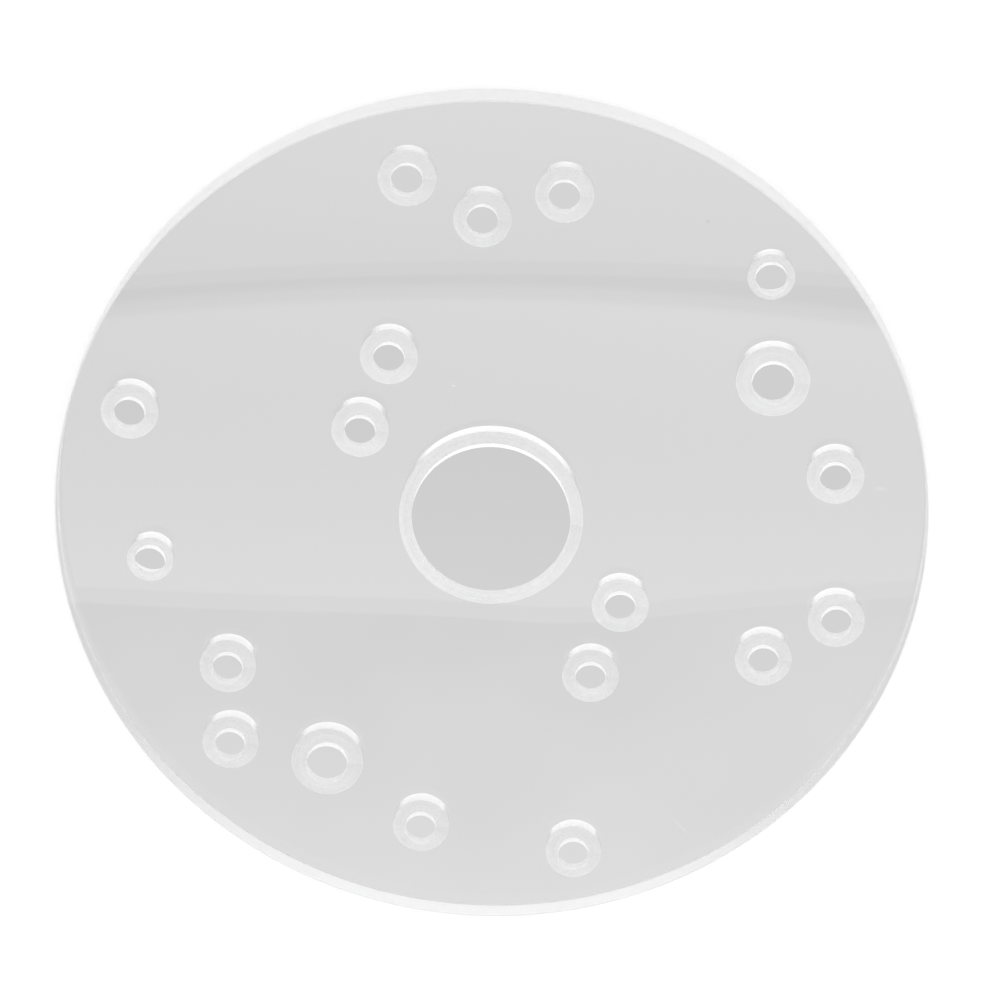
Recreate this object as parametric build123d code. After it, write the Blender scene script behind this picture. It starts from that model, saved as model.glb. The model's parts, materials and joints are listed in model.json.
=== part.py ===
from build123d import *
import math
import os

# A clear acrylic base plate for a hand router, milled from one piece of sheet.
# Millimetres and degrees. It lies as in use: the flat face that meets the router is up,
# and the pockets for the screw heads open downwards, in the face that slides on the work.
# The origin is on the axis of the middle opening, at the height of the lower face.
# +X runs along the long side of the rectangular group of screw holes.

# The disc
plate_diameter = 165.1
plate_thickness = 7.94
rim_edge_break = 0.25

# The stepped middle opening, which takes a screw-in template guide
guide_hole_diameter = 30.16
guide_seat_diameter = 34.93
guide_seat_depth = 5.08

# The stepped screw holes: a clear hole for the shank below a wider pocket for the head
screw_hole_diameter = 6.0
screw_pocket_diameter = 10.85
narrow_pocket_diameter = 8.85
large_hole_diameter = 8.0
large_pocket_diameter = 13.85
screw_pocket_depth = 5.08

# Three holes at 120 degrees, on three circles: each has a diameter and its first hole's angle
inner_circle_diameter = 118.5
inner_circle_angle = 48.5
middle_circle_diameter = 137.6
middle_circle_angle = 60
outer_circle_diameter = 142.2
outer_circle_angle = 120
holes_on_a_circle = 3

# Four holes on a rectangle
rectangle_length = 107.3
rectangle_width = 75.2

# Two large holes in a line along X, behind the middle opening
large_hole_spacing = 115.4
large_hole_setback = 15.5

# Two pairs of holes beside the middle opening, each pair across one of its diameters
near_pair_spacing = 60.5
near_pair_angle = 101.5
far_pair_spacing = 74.8
far_pair_angle = 77.7
holes_in_a_pair = 2

# How far a cutter runs past the face that it breaks through
overrun = 1.0


def circle_places(diameter, count, first_angle):
    """Hole centres evenly spaced on a circle about the origin."""
    radius = diameter / 2
    turns = [math.radians(first_angle + 360 * step / count) for step in range(count)]
    return [(radius * math.cos(turn), radius * math.sin(turn)) for turn in turns]


def rectangle_places(length, width):
    """The four corners of a rectangle about the origin, counter-clockwise from +X +Y."""
    corners = [(1, 1), (-1, 1), (-1, -1), (1, -1)]
    return [(x * length / 2, y * width / 2) for x, y in corners]


def line_places(spacing, setback):
    """Two hole centres along X, moved back from the origin."""
    return [(spacing / 2, -setback), (-spacing / 2, -setback)]


def plain_holes():
    """The screw holes whose heads lie in the usual pocket."""
    places = circle_places(inner_circle_diameter, holes_on_a_circle, inner_circle_angle)
    places += circle_places(middle_circle_diameter, holes_on_a_circle, middle_circle_angle)
    outer = circle_places(outer_circle_diameter, holes_on_a_circle, outer_circle_angle)
    places += outer[:-1]
    corners = rectangle_places(rectangle_length, rectangle_width)
    places += [corners[0]] + corners[2:]
    places += circle_places(near_pair_spacing, holes_in_a_pair, near_pair_angle)
    places += circle_places(far_pair_spacing, holes_in_a_pair, far_pair_angle)
    return places


def narrow_holes():
    """The two screw holes with a narrower pocket: one of the outer circle, one corner."""
    outer = circle_places(outer_circle_diameter, holes_on_a_circle, outer_circle_angle)
    corners = rectangle_places(rectangle_length, rectangle_width)
    return [outer[-1], corners[1]]


def disc():
    """The round blank, with its two rim edges just taken off."""
    blank = Cylinder(plate_diameter / 2, plate_thickness, align=(Align.CENTER, Align.CENTER, Align.MIN))
    rim_edges = blank.edges().filter_by(GeomType.CIRCLE)
    return chamfer(rim_edges, rim_edge_break)


def stepped_cutter(through_diameter, pocket_diameter, pocket_depth):
    """What one stepped hole takes away: a pocket from below, and a clear hole to the top."""
    stand = (Align.CENTER, Align.CENTER, Align.MIN)
    below = Pos(0, 0, -overrun)
    pocket = Cylinder(pocket_diameter / 2, pocket_depth + overrun, align=stand)
    through = Cylinder(through_diameter / 2, plate_thickness + 2 * overrun, align=stand)
    return below * (pocket + through)


def all_cutters():
    """The cutters of every stepped hole, each at its place."""
    plain = stepped_cutter(screw_hole_diameter, screw_pocket_diameter, screw_pocket_depth)
    narrow = stepped_cutter(screw_hole_diameter, narrow_pocket_diameter, screw_pocket_depth)
    large = stepped_cutter(large_hole_diameter, large_pocket_diameter, screw_pocket_depth)
    guide = stepped_cutter(guide_hole_diameter, guide_seat_diameter, guide_seat_depth)
    cutters = [guide]
    cutters += [Pos(x, y, 0) * plain for x, y in plain_holes()]
    cutters += [Pos(x, y, 0) * narrow for x, y in narrow_holes()]
    cutters += [Pos(x, y, 0) * large for x, y in line_places(large_hole_spacing, large_hole_setback)]
    return cutters


def base_plate():
    """The whole plate: the disc less its stepped holes."""
    plate = disc()
    for cutter in all_cutters():
        plate -= cutter
    return plate


os.makedirs("parts", exist_ok=True)
plate = base_plate()
plate.label = "base_plate"
export_step(plate, "parts/base_plate.step")
print("base_plate", len(plate.solids()), "solid", round(plate.volume), "cubic mm")
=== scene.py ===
# %% [markdown]
# # A clear base plate for a hand router
# The real object is one disc of clear acrylic. A mill has cut a stepped opening in its middle
# and nineteen stepped screw holes round it. Nothing on it is painted, so the whole look comes
# from two finishes: the polished faces of the sheet, which only mirror and bend what is round
# them, and the satin surfaces that the cutter left, which catch the light and look nearly white.
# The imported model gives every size. It is loaded first, and nothing here moves or resizes it.

# %% Load the frame
import bpy
import json
import math
import numpy as np
from mathutils import Matrix, Vector


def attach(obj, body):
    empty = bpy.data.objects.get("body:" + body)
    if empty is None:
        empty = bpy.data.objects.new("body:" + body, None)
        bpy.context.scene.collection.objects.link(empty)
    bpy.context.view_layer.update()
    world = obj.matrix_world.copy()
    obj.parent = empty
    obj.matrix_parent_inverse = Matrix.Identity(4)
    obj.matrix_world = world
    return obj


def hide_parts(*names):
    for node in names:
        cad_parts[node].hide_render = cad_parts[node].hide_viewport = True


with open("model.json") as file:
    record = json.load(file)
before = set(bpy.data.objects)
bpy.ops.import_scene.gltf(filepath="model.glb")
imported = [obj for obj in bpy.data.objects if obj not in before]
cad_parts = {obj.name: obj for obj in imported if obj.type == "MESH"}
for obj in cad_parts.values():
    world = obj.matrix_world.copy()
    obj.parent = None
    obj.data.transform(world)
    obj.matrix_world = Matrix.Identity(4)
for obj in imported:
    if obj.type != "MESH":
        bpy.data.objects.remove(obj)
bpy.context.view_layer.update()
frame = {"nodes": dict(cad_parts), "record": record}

cad_plate = frame["nodes"]["base_plate"]

# %% [markdown]
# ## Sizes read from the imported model
# Nothing is measured twice. The disc's sizes come from the CAD mesh: its highest point, its
# widest point, and how much narrower its top face is, which is the break of the rim edge.

# %% Measure the disc
MM = 0.001
SAME_HEIGHT = 0.01 * MM
cad_points = np.array([vertex.co for vertex in cad_plate.data.vertices])
thickness = float(cad_points[:, 2].max())
radius = float(np.hypot(cad_points[:, 0], cad_points[:, 1]).max())


def radius_at(centre, height, reach):
    """The widest ring of CAD points round a vertical axis, at that height and within reach."""
    away = np.hypot(cad_points[:, 0] - centre[0], cad_points[:, 1] - centre[1])
    level = np.abs(cad_points[:, 2] - height) < SAME_HEIGHT
    return float(away[level & (away < reach)].max())


edge_break = radius - radius_at((0, 0), thickness, 2 * radius)
print(f"radius {radius / MM:.2f}, thickness {thickness / MM:.2f}, edge break {edge_break / MM:.2f} mm")

# %% [markdown]
# The record's mounts give the middle opening, and its openings give the axis of each screw
# hole. Round a hole's axis, the points at the top face lie on the shank hole, and the points at
# the bottom face lie on the pocket for the screw head.

# %% Measure the holes
HOLE_REACH = 8.5 * MM
mounts = {mount["name"]: mount for mount in frame["record"]["mounts"]}
guide_seat = mounts["guide_seat"]["dims"]
guide_hole = mounts["guide_hole"]["dims"]
pocket_depth = guide_seat["length_mm"] * MM
holes = [(0.0, 0.0, guide_hole["r_mm"] * MM, guide_seat["r_mm"] * MM)]
for opening in frame["record"]["physics"]["openings"]:
    low, high = opening["box_m"]
    centre = ((low[0] + high[0]) / 2, (low[1] + high[1]) / 2)
    shank = radius_at(centre, thickness, HOLE_REACH)
    pocket = radius_at(centre, 0.0, HOLE_REACH)
    holes.append((centre[0], centre[1], shank, pocket))
for hole in holes:
    x, y, shank, pocket = (size / MM for size in hole)
    print(f"  hole at {x:6.1f} {y:6.1f}, shank {2 * shank:5.2f}, pocket {2 * pocket:5.2f} mm across")

# %% [markdown]
# ## The camera
# The photograph was taken from nearly straight above with a long lens. The near side of the
# plate is at the top of the picture. The values come from fitting a pinhole camera, and the
# bending of light in the acrylic, to the outline and the edges of every hole.

# %% Place the camera
CAMERA_DISTANCE = 898.7 * MM
CAMERA_TILT = math.radians(20.88)
CAMERA_ROLL = math.radians(4.52)
PLATE_TURN = math.radians(47.21)
AIM = Vector((0.42 * MM, 5.48 * MM, thickness))
LENS_IN_PICTURE_WIDTHS = 4767 / 990
NEAREST_SEEN = 0.01
FURTHEST_SEEN = 20

to_plate = Matrix.Rotation(-PLATE_TURN, 4, "Z")
camera_data = bpy.data.cameras.new("camera")
camera = bpy.data.objects.new("camera", camera_data)
bpy.context.scene.collection.objects.link(camera)
camera_data.lens = LENS_IN_PICTURE_WIDTHS * camera_data.sensor_width
lean = Matrix.Rotation(-CAMERA_TILT, 4, "X") @ Matrix.Rotation(CAMERA_ROLL, 4, "Z")
stand = AIM + Vector((0, math.sin(CAMERA_TILT), math.cos(CAMERA_TILT))) * CAMERA_DISTANCE
camera.matrix_world = to_plate @ Matrix.Translation(stand) @ lean
camera_data.clip_start, camera_data.clip_end = NEAREST_SEEN, FURTHEST_SEEN
bpy.context.scene.camera = camera
bpy.context.scene.view_settings.view_transform = "Standard"
print("lens", round(camera_data.lens, 1), "mm, camera at", [round(v, 3) for v in stand])

# %% [markdown]
# ## Light inside a clear sheet
# Light that has entered the sheet bounces between its faces until it meets a milled surface.
# With the usual limits these long paths are cut off, and the milled surfaces turn grey. So the
# limits are raised, and sharp reflections aren't blurred to save time.

# %% Let light travel far inside the sheet
SHEET_BOUNCES = 64
cycles = bpy.context.scene.cycles
cycles.max_bounces = cycles.glossy_bounces = SHEET_BOUNCES
cycles.transmission_bounces = cycles.diffuse_bounces = SHEET_BOUNCES
cycles.blur_glossy = 0.0
print("light may bounce", cycles.max_bounces, "times")

# %% [markdown]
# ## Helpers for node trees
# Both Geometry Nodes and shaders are built in the script. One helper adds a node, sets its
# options and fills its inputs with values or with links from other nodes. The others are the
# few steps that every tree here needs: a sum, a blend, a grey, and a distance from an axis.

# %% Node helpers
def add_node(tree, kind, inputs=None, **options):
    """A new node with its options set, and its inputs given values or links."""
    made = tree.nodes.new(kind)
    for name, value in options.items():
        setattr(made, name, value)
    for name, value in (inputs or {}).items():
        if isinstance(value, bpy.types.NodeSocket):
            tree.links.new(value, made.inputs[name])
        else:
            made.inputs[name].default_value = value
    return made


def maths(tree, operation, first, second=0.0, third=0.0):
    """The output of one Math node."""
    return add_node(tree, "ShaderNodeMath", {0: first, 1: second, 2: third}, operation=operation).outputs[0]


def blend(tree, share, first, second):
    """The first value where the share is 0, and the second where it is 1."""
    return add_node(tree, "ShaderNodeMix", {"Factor": share, "A": first, "B": second}).outputs[0]


def grey(tree, tone):
    """A colour with the same tone in red, green and blue."""
    return add_node(tree, "ShaderNodeCombineColor", {0: tone, 1: tone, 2: tone}).outputs[0]


def out_from_axis(tree, axes):
    """How far a point lies out from the upright axis."""
    flat = add_node(tree, "ShaderNodeCombineXYZ", {0: axes[0], 1: axes[1]}).outputs[0]
    return add_node(tree, "ShaderNodeVectorMath", {0: flat}, operation="LENGTH").outputs["Value"]


node_helpers = (add_node, maths, blend, grey, out_from_axis)
print("node helpers:", ", ".join(helper.__name__ for helper in node_helpers))

# %% [markdown]
# The marks on the plate and the bands of the tent were placed in the picture. So the shaders
# turn their coordinates by the same angle as the plate lies to the picture.

# %% Shader helpers
def new_material(name):
    """A material with an empty tree, its tree and its output node."""
    material = bpy.data.materials.new(name)
    material.use_nodes = True
    material.node_tree.nodes.clear()
    return material, material.node_tree, material.node_tree.nodes.new("ShaderNodeOutputMaterial")


def object_place(tree):
    """Where a point lies on its object."""
    return add_node(tree, "ShaderNodeTexCoord").outputs["Object"]


def turned(tree, place, angle):
    """A place turned round the upright axis."""
    return add_node(tree, "ShaderNodeVectorRotate", {"Vector": place, "Angle": angle},
                    rotation_type="Z_AXIS").outputs[0]


def picture_axes(tree, place):
    """A place in the picture's axes: right, up towards the near side, and height."""
    return add_node(tree, "ShaderNodeSeparateXYZ", {0: turned(tree, place, PLATE_TURN)}).outputs


print("the plate is turned", round(math.degrees(PLATE_TURN), 2), "degrees to the picture")

# %% [markdown]
# ## Marks of handling
# The two faces of the sheet come from the mould or the polisher. They are as clear as glass, and
# what tells them from glass is what handling leaves: here and there a scratch, a smudge or a
# fleck. Each is a soft ellipse at a place of its own, where the polish is a little dull or the
# surface a little dark.

# %% Place the marks of handling
# Each mark: its place from the middle and its half size in mm, its turn in degrees, and how dull
# and how dark it is
HANDLING_MARKS = {
    "dark fleck": (35.6, 62.6, 0.6, 0.45, 0, 0.0, 0.16),
    "smudge": (-16.9, 46.7, 4.0, 1.2, 0, 0.0, 0.015),
    "short scratch": (-32.4, -7.1, 2.0, 0.35, -50, 0.09, 0.0),
    "long scratch": (41.4, -60.0, 3.4, 0.35, -41, 0.08, 0.0),
    "pale blot": (72.5, 12.8, 1.3, 0.5, 0, 0.12, 0.0),
    "pale fleck": (-8.9, 26.6, 0.3, 0.25, 0, 0.4, 0.0),
}
MARK_FULL_WITHIN = 0.2


def mark_share(tree, place, middle, half_size, turn):
    """How much of one handling mark covers a point: 1 at its middle, and 0 past its end."""
    offset = add_node(tree, "ShaderNodeVectorMath", {0: place, 1: middle}, operation="SUBTRACT")
    along = turned(tree, offset.outputs[0], -math.radians(turn))
    sized = add_node(tree, "ShaderNodeVectorMath", {0: along, 1: half_size}, operation="DIVIDE").outputs[0]
    away = add_node(tree, "ShaderNodeVectorMath", {0: sized}, operation="LENGTH").outputs["Value"]
    return add_node(tree, "ShaderNodeMapRange", {
        "Value": away, "From Min": 1.0, "From Max": MARK_FULL_WITHIN},
        interpolation_type="SMOOTHSTEP").outputs[0]


print("marks of handling:", ", ".join(HANDLING_MARKS))

# %% [markdown]
# ## Polished acrylic
# Clear acrylic has an index of refraction of 1.49. A little dust lies on it: cells of a Voronoi
# texture, of which a threshold keeps few. A speck or a scratch takes away some of the
# transmission, which shows the white of the plastic, and makes the rest of it rougher.

# %% Make the polished material
ACRYLIC_INDEX = 1.49
DUST_SCALE = 110.0
DUST_SIZE = 0.018
DUST_KEPT_ABOVE = 0.88
DUST_DULLNESS = 0.15
ROUGHNESS_WHERE_DULL = 0.5


def dust(tree, place):
    """How dull the specks of dust make a point."""
    cells = add_node(tree, "ShaderNodeTexVoronoi", {"Vector": place, "Scale": DUST_SCALE})
    near = maths(tree, "LESS_THAN", cells.outputs["Distance"], DUST_SIZE)
    chosen = maths(tree, "GREATER_THAN", cells.outputs["Color"], DUST_KEPT_ABOVE)
    return maths(tree, "MULTIPLY", maths(tree, "MULTIPLY", near, chosen), DUST_DULLNESS)


def polished_acrylic():
    """Clear acrylic with the marks of handling and a little dust."""
    material, tree, output = new_material("polished_acrylic")
    place = object_place(tree)
    in_picture = turned(tree, place, PLATE_TURN)
    dull = dust(tree, place)
    tone = 1.0
    for x, y, long, wide, turn, dullness, darkness in HANDLING_MARKS.values():
        middle = (x * MM, y * MM, thickness)
        share = mark_share(tree, in_picture, middle, (long * MM, wide * MM, wide * MM), turn)
        dull = maths(tree, "MULTIPLY_ADD", share, dullness, dull)
        tone = maths(tree, "MULTIPLY_ADD", share, -darkness, tone)
    shader = add_node(tree, "ShaderNodeBsdfPrincipled", {
        "Base Color": grey(tree, tone), "IOR": ACRYLIC_INDEX,
        "Roughness": maths(tree, "MULTIPLY", dull, ROUGHNESS_WHERE_DULL),
        "Transmission Weight": maths(tree, "SUBTRACT", 1.0, dull)})
    tree.links.new(shader.outputs[0], output.inputs["Surface"])
    return material


polished = polished_acrylic()
print("made", polished.name, "of index", ACRYLIC_INDEX)

# %% [markdown]
# ## Milled acrylic
# A cutter leaves fine marks that go round its axis. They scatter light, so a milled surface
# looks like frosted glass. Each surface carries an attribute, `from_axis`, with the distance of
# its points from the axis of their own hole, so one material can draw the marks on all of them.
# The milling tree further down stores it.

# %% Find where a point lies round its hole
AXIS_ATTRIBUTE = "from_axis"
FULL_TURN = 2 * math.pi


def cut_axes(tree):
    """How far a point lies out from its hole's axis, its height, and its turn round the axis."""
    away = add_node(tree, "ShaderNodeAttribute", attribute_name=AXIS_ATTRIBUTE).outputs["Vector"]
    axes = picture_axes(tree, away)
    turn = maths(tree, "DIVIDE", maths(tree, "ARCTAN2", axes[1], axes[0]), FULL_TURN)
    return out_from_axis(tree, axes), axes[2], turn


print("the milled materials read", AXIS_ATTRIBUTE)

# %% [markdown]
# The marks are noise that is stretched round the axis: it changes quickly across the marks and
# hardly at all along them. Fine grain lies between them. On a ledge, the place where the cutter
# came down stays a little darker, as a wedge that fades over a ninth of a turn.

# %% Draw the cutter's marks
MARK_DETAIL = 3.0
MARK_DEPTH = 0.01 * MM
MARK_CONTRAST = 0.35
GRAIN_SCALE = 2500.0
GRAIN_DETAIL = 2.0
GRAIN_RELIEF = 0.5
START_TONE = 0.91
START_FADE = 0.11


def cutter_marks(tree, place, across_marks, turn, spacing):
    """The cutter's marks and the grain: how they shade a point, and the normal that they give it."""
    line = maths(tree, "DIVIDE", across_marks, spacing)
    line = add_node(tree, "ShaderNodeCombineXYZ", {0: line, 1: maths(tree, "ABSOLUTE", turn)}).outputs[0]
    marks = add_node(tree, "ShaderNodeTexNoise", {
        "Vector": line, "Scale": 1.0, "Detail": MARK_DETAIL}).outputs[0]
    grain = add_node(tree, "ShaderNodeTexNoise", {
        "Vector": place, "Scale": GRAIN_SCALE, "Detail": GRAIN_DETAIL}).outputs[0]
    relief = maths(tree, "ADD", marks, maths(tree, "MULTIPLY", grain, GRAIN_RELIEF))
    bump = add_node(tree, "ShaderNodeBump", {"Height": relief, "Strength": 1.0, "Distance": MARK_DEPTH})
    uneven = maths(tree, "MULTIPLY", maths(tree, "ADD", marks, grain), MARK_CONTRAST)
    return maths(tree, "ADD", uneven, 1 - MARK_CONTRAST), bump.outputs[0]


def start_wedge(tree, turn):
    """The wedge where the cutter came down: START_TONE at its start, and 1 past its end."""
    past_start = maths(tree, "FRACT", maths(tree, "MULTIPLY", turn, -1.0))
    return add_node(tree, "ShaderNodeMapRange", {
        "Value": past_start, "From Min": 0.0, "From Max": START_FADE,
        "To Min": START_TONE, "To Max": 1.0}).outputs[0]


print(f"cutter marks {MARK_DEPTH / MM:.3f} mm deep, start wedge of {360 * START_FADE:.0f} degrees")

# %% [markdown]
# Seen from inside the sheet at a shallow angle, even a satin surface reflects all the light.
# Layer Weight and Backfacing find where, and Glossy takes over there: that ends the white
# crescent above each hole. The drilled shank is rougher than the pocket, so it mirrors less, and
# from the air it is a little darker. The wide walls of the middle opening mirror from a slightly
# shallower angle on, as its longer crescent in the photograph shows.

# %% Mirror at shallow angles
MIRROR_TONE = 0.97
MIRROR_ROUGHNESS = 0.2
DRILLED_MIRROR = 0.2
DRILLED_LOSS = 0.17
LARGE_CUT = 10.0 * MM
LARGE_CUT_SHIFT = 0.04


def by_side(tree, inside, from_air, from_inside):
    """One value seen from the air and another from inside, or one number where both are the same."""
    if from_air == from_inside:
        return from_air
    return blend(tree, inside, from_air, from_inside)


def grazing_mirror(tree, inside, out, grazing, drilled):
    """How much a satin surface mirrors: only from inside the sheet and only at a shallow angle."""
    facing = add_node(tree, "ShaderNodeLayerWeight", {"Blend": 0.5}).outputs["Facing"]
    if drilled is not None:
        large = maths(tree, "GREATER_THAN", out, LARGE_CUT)
        facing = maths(tree, "MULTIPLY_ADD", large, -LARGE_CUT_SHIFT, facing)
    mirrored = add_node(tree, "ShaderNodeMapRange", {
        "Value": facing, "From Min": grazing[0], "From Max": grazing[1]},
        interpolation_type="SMOOTHSTEP").outputs[0]
    mirrored = maths(tree, "MULTIPLY", mirrored, inside)
    if drilled is not None:
        kept = maths(tree, "MULTIPLY_ADD", drilled, DRILLED_MIRROR - 1, 1.0)
        mirrored = maths(tree, "MULTIPLY", mirrored, kept)
    return mirrored


print("a drilled wall mirrors", DRILLED_MIRROR, "of what a milled one does")

# %% [markdown]
# A satin surface sends part of the light back and lets part of it through, scattered. So the
# material mixes Diffuse with Translucent, in shares that differ from the two sides. Through the
# ledge, some light goes on in its own direction, which makes the side over the far wall a little
# brighter.

# %% Build a milled material
BENT_ROUGHNESS = 0.5


def satin(tree, tone, through_tone, normal, through, onward):
    """Light that is sent back and light that is let through, with a part of that going onward."""
    clear_white = (through_tone, through_tone, through_tone, 1.0)
    back = add_node(tree, "ShaderNodeBsdfDiffuse", {"Color": grey(tree, tone), "Normal": normal})
    passed = add_node(tree, "ShaderNodeBsdfTranslucent", {"Color": clear_white, "Normal": normal})
    if onward:
        bent = add_node(tree, "ShaderNodeBsdfRefraction", {
            "Color": clear_white, "Roughness": BENT_ROUGHNESS, "IOR": ACRYLIC_INDEX})
        passed = add_node(tree, "ShaderNodeMixShader", {0: onward, 1: passed.outputs[0], 2: bent.outputs[0]})
    return add_node(tree, "ShaderNodeMixShader", {
        0: through, 1: back.outputs[0], 2: passed.outputs[0]}).outputs[0]


def milled_acrylic(name, tones, through, grazing, spacing, is_ledge=False, onward=0.0, drilled_above=None):
    """Satin acrylic with cutter marks. tones and through each say: from the air, and from inside."""
    material, tree, output = new_material(name)
    place = object_place(tree)
    out, height, turn = cut_axes(tree)
    shade, normal = cutter_marks(tree, place, out if is_ledge else height, turn, spacing)
    inside = add_node(tree, "ShaderNodeNewGeometry").outputs["Backfacing"]
    air_tone, inside_tone = tones
    drilled = None
    if drilled_above is not None:
        level = add_node(tree, "ShaderNodeSeparateXYZ", {0: place}).outputs[2]
        drilled = maths(tree, "GREATER_THAN", level, drilled_above)
        air_tone = maths(tree, "MULTIPLY_ADD", drilled, -DRILLED_LOSS, air_tone)
    tone = maths(tree, "MULTIPLY", by_side(tree, inside, air_tone, inside_tone), shade)
    if is_ledge:
        tone = maths(tree, "MULTIPLY", tone, start_wedge(tree, turn))
    scattered = satin(tree, tone, inside_tone, normal, by_side(tree, inside, *through), onward)
    mirrored = grazing_mirror(tree, inside, out, grazing, drilled)
    mirror = add_node(tree, "ShaderNodeBsdfGlossy", {
        "Color": (MIRROR_TONE, MIRROR_TONE, MIRROR_TONE, 1.0), "Roughness": MIRROR_ROUGHNESS})
    mixed = add_node(tree, "ShaderNodeMixShader", {0: mirrored, 1: scattered, 2: mirror.outputs[0]})
    tree.links.new(mixed.outputs[0], output.inputs["Surface"])
    return material


print("onward light is spread by a roughness of", BENT_ROUGHNESS)

# %% [markdown]
# Four finishes come from this one builder: the upright walls of the holes, the flat ledges
# between pocket and shank, the rim of the disc, and its two broken edges. They differ in how
# white they are and in how much light they let through, as different cutters leave them.

# %% Make the milled materials
milled_wall = milled_acrylic("milled_wall", tones=(0.95, 0.99), through=(0.5, 0.9), grazing=(0.79, 0.87),
                             spacing=0.25 * MM, drilled_above=pocket_depth)
milled_ledge = milled_acrylic("milled_ledge", tones=(0.867, 0.867), through=(0.5, 0.5), grazing=(0.80, 0.88),
                              spacing=0.3 * MM, is_ledge=True, onward=0.45)
milled_rim = milled_acrylic("milled_rim", tones=(0.92, 0.89), through=(0.7, 0.7), grazing=(0.70, 0.83),
                            spacing=0.35 * MM)
broken_edge = milled_acrylic("broken_edge", tones=(0.79, 0.79), through=(0.5, 0.5), grazing=(0.70, 0.83),
                             spacing=0.2 * MM)
print("made", milled_wall.name, milled_ledge.name, milled_rim.name, broken_edge.name)

# %% [markdown]
# ## Milling the plate with Geometry Nodes
# The plate is made as the workshop makes it: a round blank, then one stepped cutter for every
# hole. Every surface first stores how far it lies from its own axis. The blank is a cylinder
# whose two ends are drawn out by the edge break and narrowed, which breaks both rim edges.

# %% Turn the blank
def with_axis_offset(tree, mesh, centre):
    """Stores on each corner how far it lies from an axis."""
    place = add_node(tree, "GeometryNodeInputPosition").outputs[0]
    offset = add_node(tree, "ShaderNodeVectorMath", {0: place, 1: centre}, operation="SUBTRACT").outputs[0]
    return add_node(tree, "GeometryNodeStoreNamedAttribute", {
        "Geometry": mesh, "Name": AXIS_ATTRIBUTE, "Value": offset},
        data_type="FLOAT_VECTOR", domain="CORNER").outputs[0]


def blank_disc(tree, wide, thick, broken, segments):
    """The round blank with both rim edges taken off."""
    straight = maths(tree, "MULTIPLY_ADD", broken, -2.0, thick)
    disc = add_node(tree, "GeometryNodeMeshCylinder", {
        "Vertices": segments, "Radius": wide, "Depth": straight})
    share = maths(tree, "DIVIDE", maths(tree, "SUBTRACT", wide, broken), wide)
    mesh = disc.outputs["Mesh"]
    for end in ("Top", "Bottom"):
        drawn = add_node(tree, "GeometryNodeExtrudeMesh", {
            "Mesh": mesh, "Selection": disc.outputs[end], "Offset Scale": broken, "Individual": False})
        narrowed = add_node(tree, "GeometryNodeScaleElements", {
            "Geometry": drawn.outputs["Mesh"], "Selection": drawn.outputs["Top"], "Scale": share})
        mesh = narrowed.outputs[0]
    middle = add_node(tree, "ShaderNodeCombineXYZ", {2: maths(tree, "MULTIPLY", thick, 0.5)}).outputs[0]
    raised = add_node(tree, "GeometryNodeTransform", {"Geometry": mesh, "Translation": middle}).outputs[0]
    return with_axis_offset(tree, raised, (0, 0, 0))


print("the blank keeps", round((thickness - 2 * edge_break) / MM, 2), "mm of straight rim")

# %% [markdown]
# Each point of a small mesh stands for one hole and carries its two radii. Instance on Points
# sets a unit cylinder on each, and Scale gives it its size. The cylinder's own place is captured
# before it is made real, so that its corners can store how far they lie from it.

# %% Set a cutter on each hole
OVERRUN = 1.0 * MM


def unit_cylinder(tree, segments):
    """A cylinder of radius 1 that stands on the origin, 1 high."""
    made = add_node(tree, "GeometryNodeMeshCylinder", {"Vertices": segments, "Radius": 1.0, "Depth": 1.0})
    return add_node(tree, "GeometryNodeTransform", {
        "Geometry": made.outputs["Mesh"], "Translation": (0, 0, 0.5)}).outputs[0]


def cutters(tree, points, shape, radius_name, top):
    """One cylinder on each point, from below the plate up to a height, as wide as the point says."""
    held = add_node(tree, "GeometryNodeInputNamedAttribute", {"Name": radius_name}, data_type="FLOAT")
    wide = held.outputs[0]
    tall = maths(tree, "ADD", top, OVERRUN)
    size = add_node(tree, "ShaderNodeCombineXYZ", {0: wide, 1: wide, 2: tall}).outputs[0]
    stood = add_node(tree, "GeometryNodeInstanceOnPoints", {
        "Points": points, "Instance": shape, "Scale": size})
    lowered = add_node(tree, "GeometryNodeTransform", {
        "Geometry": stood.outputs[0], "Translation": (0, 0, -OVERRUN)}).outputs[0]
    centre = add_node(tree, "GeometryNodeCaptureAttribute", {"Geometry": lowered}, domain="INSTANCE")
    centre.capture_items.new("VECTOR", "centre")
    tree.links.new(add_node(tree, "GeometryNodeInputPosition").outputs[0], centre.inputs[1])
    real = add_node(tree, "GeometryNodeRealizeInstances", {0: centre.outputs[0]}).outputs[0]
    return with_axis_offset(tree, real, centre.outputs[1])


print("each cutter runs", round(OVERRUN / MM, 1), "mm past the faces")

# %% [markdown]
# Mesh Boolean takes all the cutters away in one step. The walls are then shaded smooth, and
# every edge where the surface bends sharply stays crisp.

# %% Cut and shade
CRISP_BEND = math.radians(30)


def cut_plate(tree, given):
    """The blank less the shank hole and the pocket of every hole."""
    blank = blank_disc(tree, given["Radius"], given["Thickness"], given["Edge break"], given["Rim segments"])
    shape = unit_cylinder(tree, given["Hole segments"])
    through = maths(tree, "ADD", given["Thickness"], OVERRUN)
    shanks = cutters(tree, given["Geometry"], shape, "shank_radius", through)
    pockets = cutters(tree, given["Geometry"], shape, "pocket_radius", given["Pocket depth"])
    cut = add_node(tree, "GeometryNodeMeshBoolean", {
        "Mesh 1": blank, "Self Intersection": True}, operation="DIFFERENCE", solver="EXACT")
    for tool in (shanks, pockets):
        tree.links.new(tool, cut.inputs["Mesh 2"])
    return cut.outputs["Mesh"]


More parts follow.
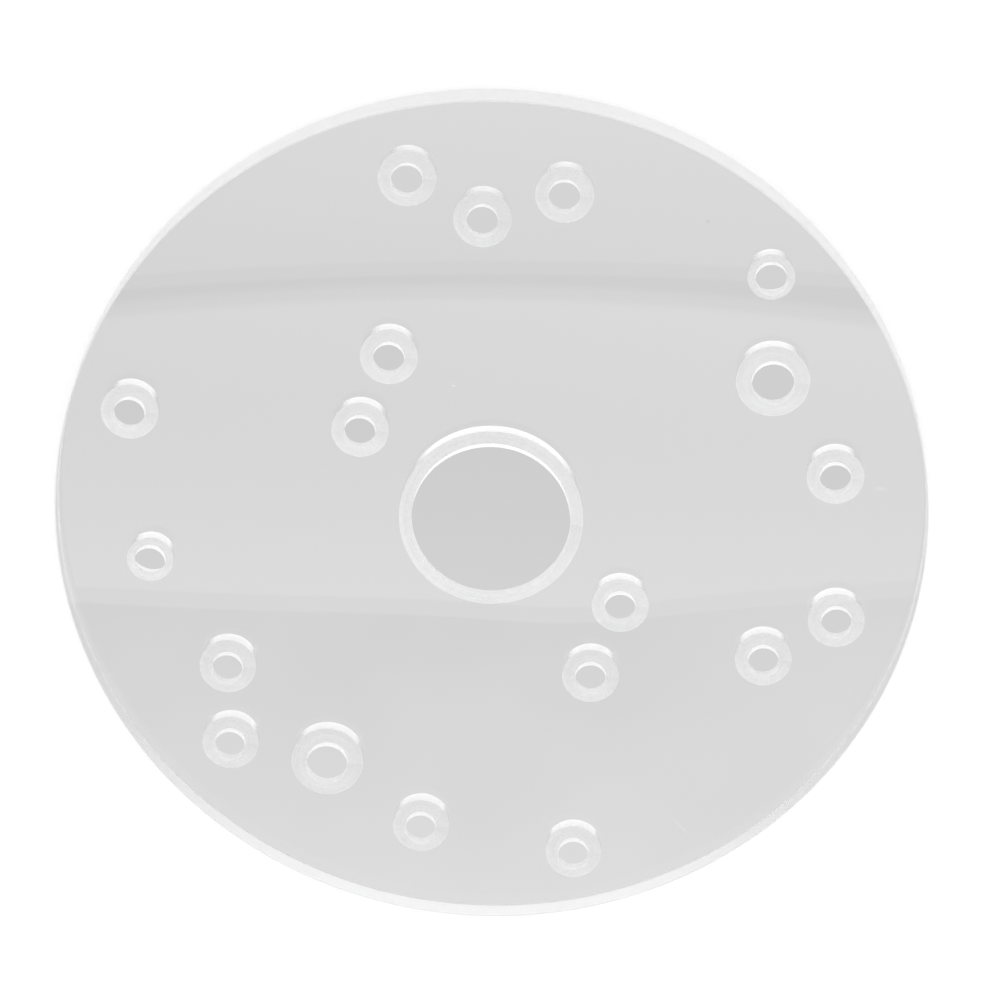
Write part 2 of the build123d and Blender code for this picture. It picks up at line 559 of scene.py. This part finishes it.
def shaded(tree, mesh):
    """Smooth walls and crisp edges."""
    smooth = add_node(tree, "GeometryNodeSetShadeSmooth", {
        "Geometry": mesh, "Shade Smooth": True}, domain="FACE").outputs[0]
    bend = add_node(tree, "GeometryNodeInputMeshEdgeAngle").outputs[0]
    return add_node(tree, "GeometryNodeSetShadeSmooth", {
        "Geometry": smooth, "Selection": maths(tree, "GREATER_THAN", bend, CRISP_BEND),
        "Shade Smooth": False}, domain="EDGE").outputs[0]


print("edges stay crisp from", round(math.degrees(CRISP_BEND)), "degrees on")

# %% [markdown]
# Each kind of surface is known by its direction and its place, as a machinist would sort them.
# What faces up or down is level: an outer face of the sheet where it is as high or as low as the
# plate goes, and a ledge elsewhere. What leans by 45 degrees is a broken edge, what is upright
# and far out is the rim, and the rest are walls of holes.

# %% Give each surface its finish
LEVEL_ABOVE = 0.9
EDGE_LEAN = math.sin(math.radians(45))
LEAN_WITHIN = 0.1


def finished(tree, mesh, given):
    """The mesh with the material of each kind of surface. A later finish covers an earlier one."""
    normal = add_node(tree, "GeometryNodeInputNormal").outputs[0]
    upright = maths(tree, "ABSOLUTE", add_node(tree, "ShaderNodeSeparateXYZ", {0: normal}).outputs[2])
    position = add_node(tree, "GeometryNodeInputPosition").outputs[0]
    axes = add_node(tree, "ShaderNodeSeparateXYZ", {0: position}).outputs
    far_out = maths(tree, "MULTIPLY_ADD", given["Edge break"], -2.0, given["Radius"])
    at_rim = maths(tree, "GREATER_THAN", out_from_axis(tree, axes), far_out)
    leaning = maths(tree, "COMPARE", upright, EDGE_LEAN, LEAN_WITHIN)
    level = maths(tree, "GREATER_THAN", upright, LEVEL_ABOVE)
    from_middle = maths(tree, "ABSOLUTE", maths(tree, "MULTIPLY_ADD", given["Thickness"], -0.5, axes[2]))
    outermost = maths(tree, "MULTIPLY_ADD", given["Thickness"], 0.5, -SAME_HEIGHT)
    outer_face = maths(tree, "MULTIPLY", level, maths(tree, "GREATER_THAN", from_middle, outermost))
    finishes = ((milled_wall, True), (milled_rim, at_rim), (broken_edge, leaning),
                (milled_ledge, level), (polished, outer_face))
    for material, chosen in finishes:
        mesh = add_node(tree, "GeometryNodeSetMaterial", {
            "Geometry": mesh, "Material": material, "Selection": chosen}).outputs[0]
    return mesh


print("level from", LEVEL_ABOVE, "on, leaning at", round(EDGE_LEAN, 3))

# %% [markdown]
# The whole tree has the plate's sizes and the fineness of its circles as named inputs.

# %% Build the milling tree
def milling_tree():
    """The tree that turns a mesh of hole centres into the milled plate."""
    tree = bpy.data.node_groups.new("mill_plate", "GeometryNodeTree")
    face = tree.interface
    face.new_socket("Geometry", in_out="INPUT", socket_type="NodeSocketGeometry")
    for name in ("Radius", "Thickness", "Edge break", "Pocket depth"):
        face.new_socket(name, in_out="INPUT", socket_type="NodeSocketFloat")
    for name in ("Rim segments", "Hole segments"):
        face.new_socket(name, in_out="INPUT", socket_type="NodeSocketInt")
    face.new_socket("Geometry", in_out="OUTPUT", socket_type="NodeSocketGeometry")
    given = add_node(tree, "NodeGroupInput").outputs
    mesh = shaded(tree, cut_plate(tree, given))
    mesh = add_node(tree, "GeometryNodeRealizeInstances", {0: mesh}).outputs[0]
    add_node(tree, "NodeGroupOutput", {0: finished(tree, mesh, given)})
    return tree


mill_plate = milling_tree()
print("milling tree of", len(mill_plate.nodes), "nodes")

# %% [markdown]
# The modifier sits on the mesh of hole centres. Its inputs are set by their identifiers. The
# result is then taken as a plain mesh, and the empty material slots that come first are removed.

# %% Grow a plain mesh from a tree
def hole_points():
    """A mesh with one point for each hole, which carries the hole's two radii."""
    mesh = bpy.data.meshes.new("hole_points")
    mesh.from_pydata([(x, y, 0.0) for x, y, shank, pocket in holes], [], [])
    radii = {"shank_radius": [hole[2] for hole in holes], "pocket_radius": [hole[3] for hole in holes]}
    for name, values in radii.items():
        mesh.attributes.new(name, "FLOAT", "POINT").data.foreach_set("value", values)
    return mesh


def grown(name, mesh, tree, values):
    """The plain mesh that a tree makes of a mesh, as a new object."""
    seed = bpy.data.objects.new(name + "_seed", mesh)
    bpy.context.scene.collection.objects.link(seed)
    modifier = seed.modifiers.new("grow", "NODES")
    modifier.node_group = tree
    for item in tree.interface.items_tree:
        if item.in_out == "INPUT" and item.name in values:
            modifier[item.identifier] = values[item.name]
    depsgraph = bpy.context.evaluated_depsgraph_get()
    plain = bpy.data.meshes.new_from_object(seed.evaluated_get(depsgraph))
    seed.modifiers.remove(modifier)
    bpy.data.objects.remove(seed)
    while plain.materials[0] is None:
        plain.materials.pop(index=0)
    plain.name = name
    made = bpy.data.objects.new(name, plain)
    bpy.context.scene.collection.objects.link(made)
    return made


hole_mesh = hole_points()
print("mesh of hole centres:", len(hole_mesh.vertices), "points")

# %% [markdown]
# The milled plate stands for the CAD node, which is hidden. It rides on the root body.

# %% Mill the plate
RIM_SEGMENTS = 480
HOLE_SEGMENTS = 96

plate = grown("milled_plate", hole_mesh, mill_plate, {
    "Radius": radius, "Thickness": thickness, "Edge break": edge_break, "Pocket depth": pocket_depth,
    "Rim segments": RIM_SEGMENTS, "Hole segments": HOLE_SEGMENTS})
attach(plate, "root")
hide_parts("base_plate")
print("milled plate:", len(plate.data.vertices), "points,", len(plate.data.polygons), "faces, materials",
      [material.name for material in plate.data.materials])

# %% [markdown]
# ## The floor
# Clear plastic shows its surroundings, so they are part of the look. The floor is white and
# takes the shadow. Under the plate lies a grey card of its size, which gives the even grey that
# shows through it: a painted shadow of the plate on the white floor. The card is darkest across
# its middle, a little nearer than the axis, which is painted shade. To light that has been
# scattered by a milled surface the card glows white, a painted light from below, so that it
# throws no grey on them. Seen from below, the floor lets everything through.

# %% Make the floor's material
FLOOR_WHITE = 0.94
# Painted light: the card under the plate glows at this level for scattered light, lighting the plate from
# below
GLOW_UNDER_PLATE = 1.2
# Painted shadow of the plate: the card's grey and its painted shade, darkest along one line
SHADOW_CARD_TONE = 0.60
SHADOW_CARD_SLOPE = 1.25
SHADOW_CARD_DARKEST = 17.0 * MM
SHADOW_CARD_ROUND = 12.0 * MM
SHADOW_CARD_TILT = 0.04
SHADOW_CARD_INSET = 0.65


def shadow_card_colour(tree, axes):
    """The painted shadow's grey, with painted shade lighter on both sides of its darkest line."""
    off_line = add_node(tree, "ShaderNodeCombineXYZ", {
        0: maths(tree, "SUBTRACT", axes[1], SHADOW_CARD_DARKEST), 1: SHADOW_CARD_ROUND}).outputs[0]
    off_line = add_node(tree, "ShaderNodeVectorMath", {0: off_line}, operation="LENGTH").outputs["Value"]
    tone = maths(tree, "MULTIPLY_ADD", off_line, SHADOW_CARD_SLOPE, SHADOW_CARD_TONE)
    return grey(tree, maths(tree, "MULTIPLY_ADD", axes[0], SHADOW_CARD_TILT, tone))


def floor_material():
    """A white floor with a painted shadow under the plate, a grey card that glows with painted light."""
    material, tree, output = new_material("floor")
    axes = picture_axes(tree, object_place(tree))
    # Where the painted shadow lies: the grey card, a little inside the plate's outline
    on_shadow_card = maths(tree, "LESS_THAN", out_from_axis(tree, axes), radius - SHADOW_CARD_INSET * edge_break)
    path = add_node(tree, "ShaderNodeLightPath").outputs
    # Painted light: scattered light sees the card glow white instead of grey
    scattered = maths(tree, "GREATER_THAN", path["Diffuse Depth"], 0.5)
    lighting = maths(tree, "MAXIMUM", scattered, path["Is Diffuse Ray"])
    shown = add_node(tree, "ShaderNodeMix", {
        "Factor": lighting, "A": shadow_card_colour(tree, axes), "B": (GLOW_UNDER_PLATE, GLOW_UNDER_PLATE, GLOW_UNDER_PLATE, 1)}, data_type="RGBA")
    card = add_node(tree, "ShaderNodeEmission", {"Color": shown.outputs["Result"], "Strength": 1.0})
    matt = add_node(tree, "ShaderNodeBsdfDiffuse", {"Color": (FLOOR_WHITE, FLOOR_WHITE, FLOOR_WHITE, 1)})
    laid = add_node(tree, "ShaderNodeMixShader", {0: on_shadow_card, 1: matt.outputs[0], 2: card.outputs[0]})
    from_below = add_node(tree, "ShaderNodeNewGeometry").outputs["Backfacing"]
    unseen = add_node(tree, "ShaderNodeBsdfTransparent")
    mixed = add_node(tree, "ShaderNodeMixShader", {0: from_below, 1: laid.outputs[0], 2: unseen.outputs[0]})
    tree.links.new(mixed.outputs[0], output.inputs["Surface"])
    return material


floor_white = floor_material()
print("made", floor_white.name, "with a card of tone", SHADOW_CARD_TONE)

# %% [markdown]
# The floor lies a hair below the plate, so that the two never share a plane.

# %% Lay the floor
FLOOR_DROP = 0.05 * MM
FLOOR_SIZE = 3.0


def stage_plane(name, corners, material):
    """A flat piece with four corners that belongs to the stage."""
    mesh = bpy.data.meshes.new(name)
    mesh.from_pydata(corners, [], [(0, 1, 2, 3)])
    mesh.materials.append(material)
    made = bpy.data.objects.new(name, mesh)
    bpy.context.scene.collection.objects.link(made)
    return made


reach = FLOOR_SIZE / 2
floor_corners = [(x * reach, y * reach, -FLOOR_DROP) for x, y in ((-1, -1), (1, -1), (1, 1), (-1, 1))]
floor = stage_plane("floor", floor_corners, floor_white)
print(floor.name, FLOOR_SIZE, "m across")

# %% [markdown]
# ## The tent
# The polished faces mirror what hangs above. The photograph shows two soft, slightly bowed lines
# across the plate: a slit between two cloths, and the lower end of the far one, which sags in
# one place. So the tent is one large glowing card with these bands. A line is given by its place
# at the middle, its slope and its bow, in mm across the card.

# %% Draw the tent's lines
SLIT_NEAR = (-23.1, 0.08, -0.0005)
SLIT_FAR = (-29.3, 0.065, -0.0007)
CLOTH_END = (-109.0, 0.091, 0.00036)
SAG_AT, SAG_WIDTH, SAG_DEPTH = 22.0, 28.0, 2.8


def bowed_line(tree, across, line):
    """Where a slightly bowed line lies, at a place across the card."""
    middle, slope, bow = line
    return maths(tree, "MULTIPLY_ADD", maths(tree, "MULTIPLY_ADD", across, bow, slope), across, middle)


def sagging_end(tree, across):
    """Where the far cloth's lower end lies."""
    from_sag = maths(tree, "DIVIDE", maths(tree, "SUBTRACT", across, SAG_AT), SAG_WIDTH)
    sag = maths(tree, "EXPONENT", maths(tree, "MULTIPLY", maths(tree, "POWER", from_sag, 2.0), -1.0))
    return maths(tree, "MULTIPLY_ADD", sag, -SAG_DEPTH, bowed_line(tree, across, CLOTH_END))


def past(tree, along, line, softness):
    """0 on the near side of a line and 1 on its far side, with a soft edge."""
    gone = maths(tree, "SUBTRACT", line, along)
    return add_node(tree, "ShaderNodeMapRange", {
        "Value": gone, "From Min": -softness / 2, "From Max": softness / 2},
        interpolation_type="SMOOTHSTEP").outputs[0]


print("slit", round(SLIT_NEAR[0] - SLIT_FAR[0], 1), "mm wide, cloth end at", CLOTH_END[0], "mm")

# %% [markdown]
# The card shows only in reflections and in scattered light. What has met nothing but clear
# plastic goes straight through it: the number of its turns, less those that let it through, is 0.

# %% Make the tent's material
# Each level that changes: its value at the middle, and its change with each mm along and across
FAR_CLOTH = (1.52, -0.0006, 0.0008)
BEYOND = (1.02, 0.002, 0.002)
NEAR_CLOTH = 1.06
SLIT = 0.45
CLOUD_SCALE = 28.0
CLOUD_DETAIL = 2.0
CLOUD_CONTRAST = 0.8
CRISP_EDGE = 0.8
SOFT_EDGE = 3.0


def changing_level(tree, across, along, level):
    """A level of light that changes evenly along and across the card."""
    middle, with_along, with_across = level
    lengthwise = maths(tree, "MULTIPLY_ADD", along, with_along, middle)
    return maths(tree, "MULTIPLY_ADD", across, with_across, lengthwise)


def gone_straight(tree):
    """1 for light that has met nothing but clear plastic."""
    path = add_node(tree, "ShaderNodeLightPath").outputs
    turns = maths(tree, "SUBTRACT", path["Ray Depth"], path["Transmission Depth"])
    return maths(tree, "LESS_THAN", maths(tree, "ADD", turns, path["Is Diffuse Ray"]), 0.5)


def tent_material():
    """The tent's two cloths, the slit between them, and what lies beyond the far one."""
    material, tree, output = new_material("tent")
    place = object_place(tree)
    across, along = (maths(tree, "DIVIDE", axis, MM) for axis in picture_axes(tree, place)[:2])
    clouds = add_node(tree, "ShaderNodeTexNoise", {
        "Vector": place, "Scale": CLOUD_SCALE, "Detail": CLOUD_DETAIL}).outputs[0]
    beyond = maths(tree, "SUBTRACT", changing_level(tree, across, along, BEYOND), CLOUD_CONTRAST / 2)
    beyond = maths(tree, "MULTIPLY_ADD", clouds, CLOUD_CONTRAST, beyond)
    far_cloth = changing_level(tree, across, along, FAR_CLOTH)
    level = blend(tree, past(tree, along, bowed_line(tree, across, SLIT_NEAR), CRISP_EDGE), NEAR_CLOTH, SLIT)
    level = blend(tree, past(tree, along, bowed_line(tree, across, SLIT_FAR), SOFT_EDGE), level, far_cloth)
    level = blend(tree, past(tree, along, sagging_end(tree, across), CRISP_EDGE), level, beyond)
    glow = add_node(tree, "ShaderNodeEmission", {"Strength": level})
    unseen = add_node(tree, "ShaderNodeBsdfTransparent")
    mixed = add_node(tree, "ShaderNodeMixShader", {
        0: gone_straight(tree), 1: glow.outputs[0], 2: unseen.outputs[0]})
    tree.links.new(mixed.outputs[0], output.inputs["Surface"])
    return material


tent_cloth = tent_material()
print("made", tent_cloth.name, "of", len(tent_cloth.node_tree.nodes), "nodes")

# %% [markdown]
# The card hangs where the camera sees it mirrored in the plate, and no further.

# %% Hang the tent card
TENT_HEIGHT = thickness + 220.0 * MM
TENT_CORNERS = [(-160.0, -240.0), (160.0, -240.0), (160.0, 60.0), (-160.0, 60.0)]

tent_corners = [to_plate @ Vector((x * MM, y * MM, TENT_HEIGHT)) for x, y in TENT_CORNERS]
tent = stage_plane("tent", tent_corners, tent_cloth)
print(tent.name, "at", round(TENT_HEIGHT / MM), "mm")

# %% [markdown]
# ## The light
# The world gives soft light from all sides. Where it is seen directly, through the clear plastic
# or in a mirror, it is a pale grey backdrop.

# %% Light the studio
DOME_LIGHT = 1.2
DOME_SEEN = 0.78

world = bpy.data.worlds.new("studio")
bpy.context.scene.world = world
world.use_nodes = True
world_tree = world.node_tree
world_tree.nodes.clear()
path = add_node(world_tree, "ShaderNodeLightPath").outputs
seen = maths(world_tree, "MAXIMUM", path["Is Camera Ray"], path["Is Glossy Ray"])
strength = maths(world_tree, "MULTIPLY_ADD", seen, DOME_SEEN - DOME_LIGHT, DOME_LIGHT)
sky = add_node(world_tree, "ShaderNodeBackground", {"Color": (1, 1, 1, 1), "Strength": strength})
add_node(world_tree, "ShaderNodeOutputWorld", {"Surface": sky.outputs[0]})
print("light level", DOME_LIGHT, "and backdrop", DOME_SEEN)
